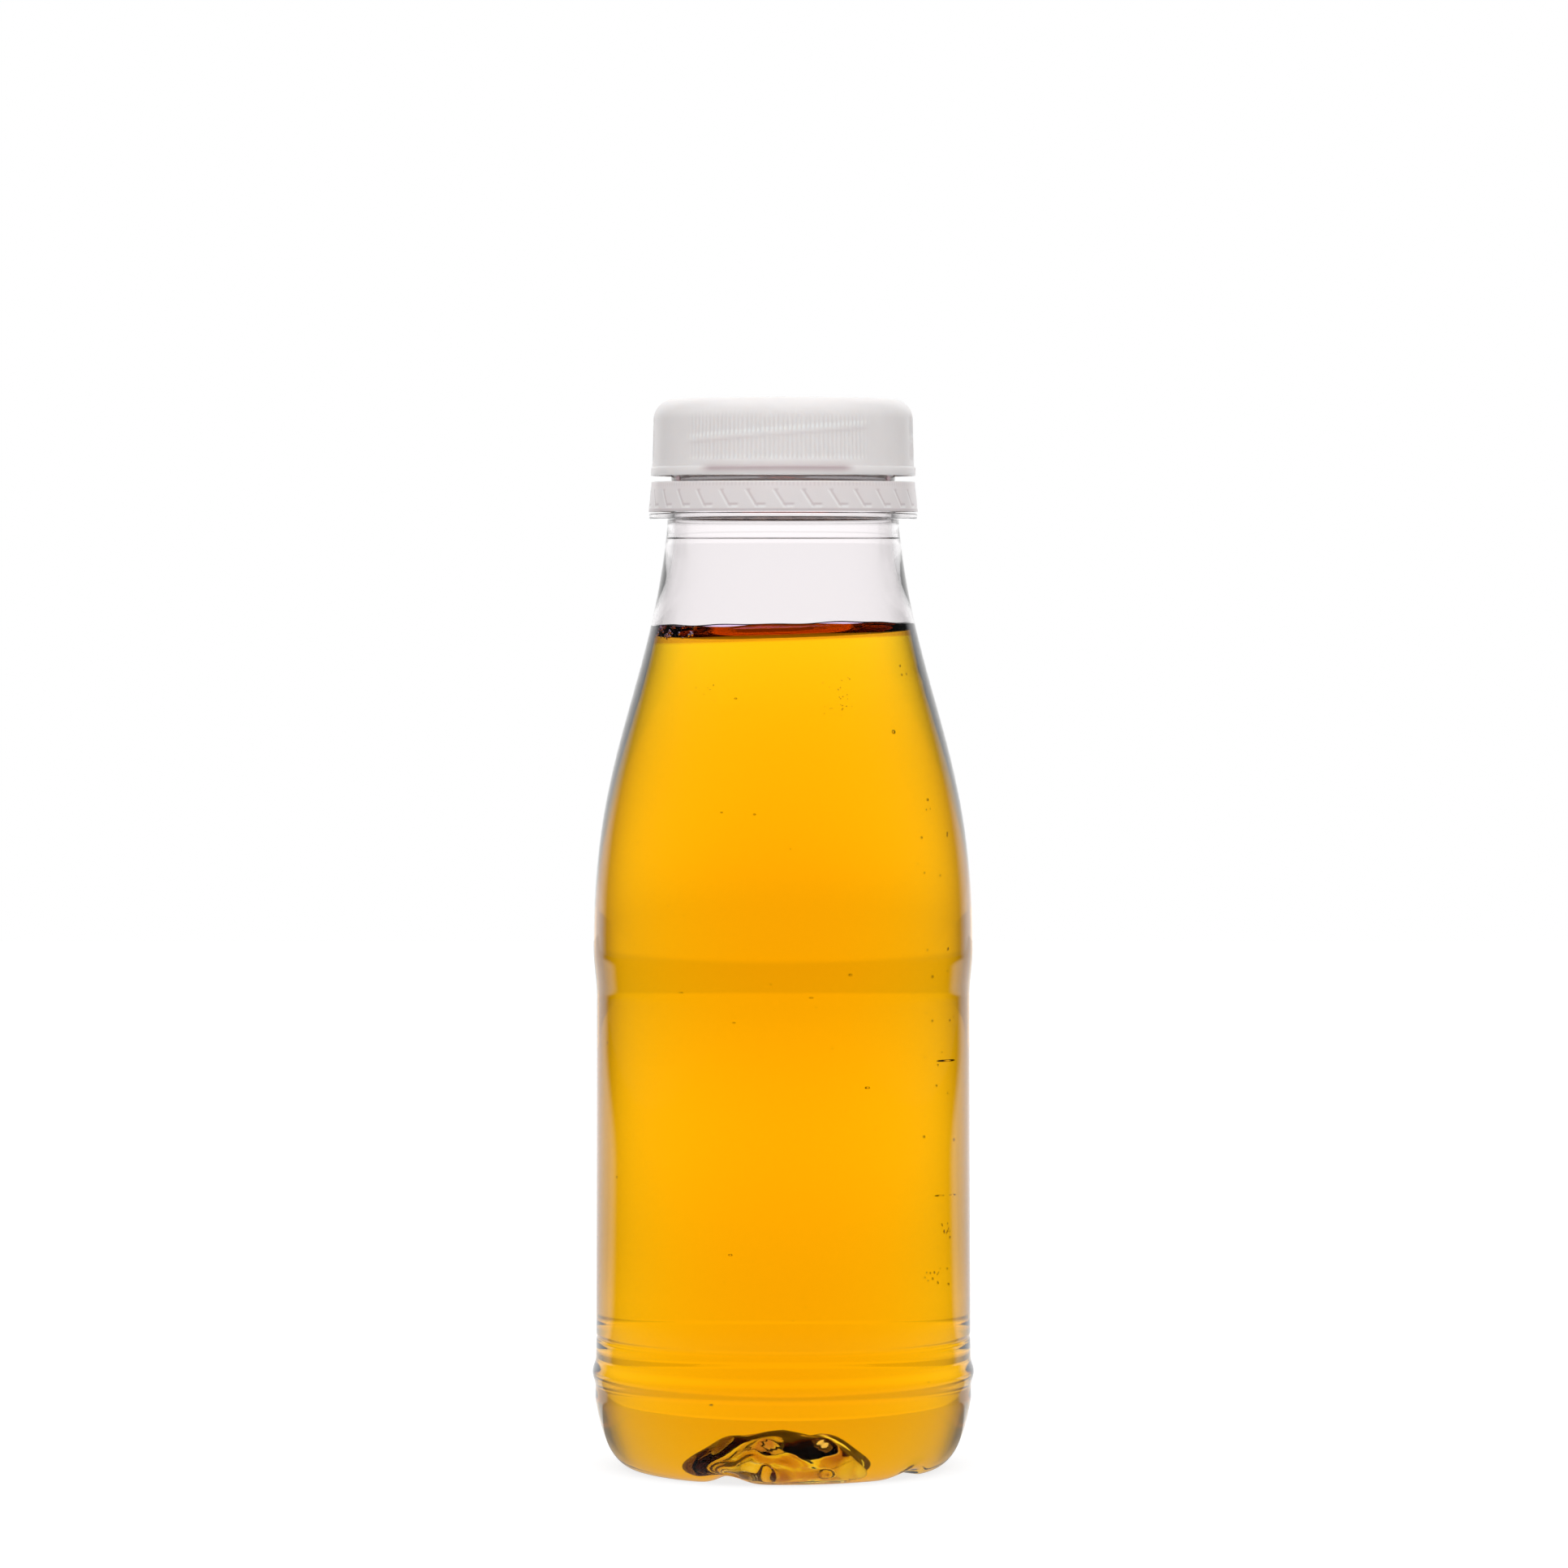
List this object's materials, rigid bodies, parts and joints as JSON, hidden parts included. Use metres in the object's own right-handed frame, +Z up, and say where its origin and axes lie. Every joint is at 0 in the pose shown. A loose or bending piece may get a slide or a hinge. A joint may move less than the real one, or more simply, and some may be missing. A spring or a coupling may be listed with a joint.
{
  "type": "plastic juice bottle",
  "caption": "Clear plastic drinks bottle with a long shoulder, a footed base and a milky screw cap with its tamper band, filled with amber juice.",
  "frame": {"origin": "on the bottle's axis at the level that its feet stand on", "axes": "+Z up along the bottle's axis towards the cap; the side that faces the camera in the picture faces -Y; +X is to its right"},
  "size_m": [0.0608, 0.0608, 0.1702],
  "materials": {
    "clear_plastic": "clear blown plastic, thin in the body and thicker at the neck and base, glossy",
    "juice": "clear amber juice, seen through",
    "closure": "milky natural plastic that lets light through, satin"
  },
  "bodies": {
    "root": {"bottle": "clear_plastic", "juice": "juice", "cap": "closure", "tamper_band": "closure"}
  },
  "joints": []
}
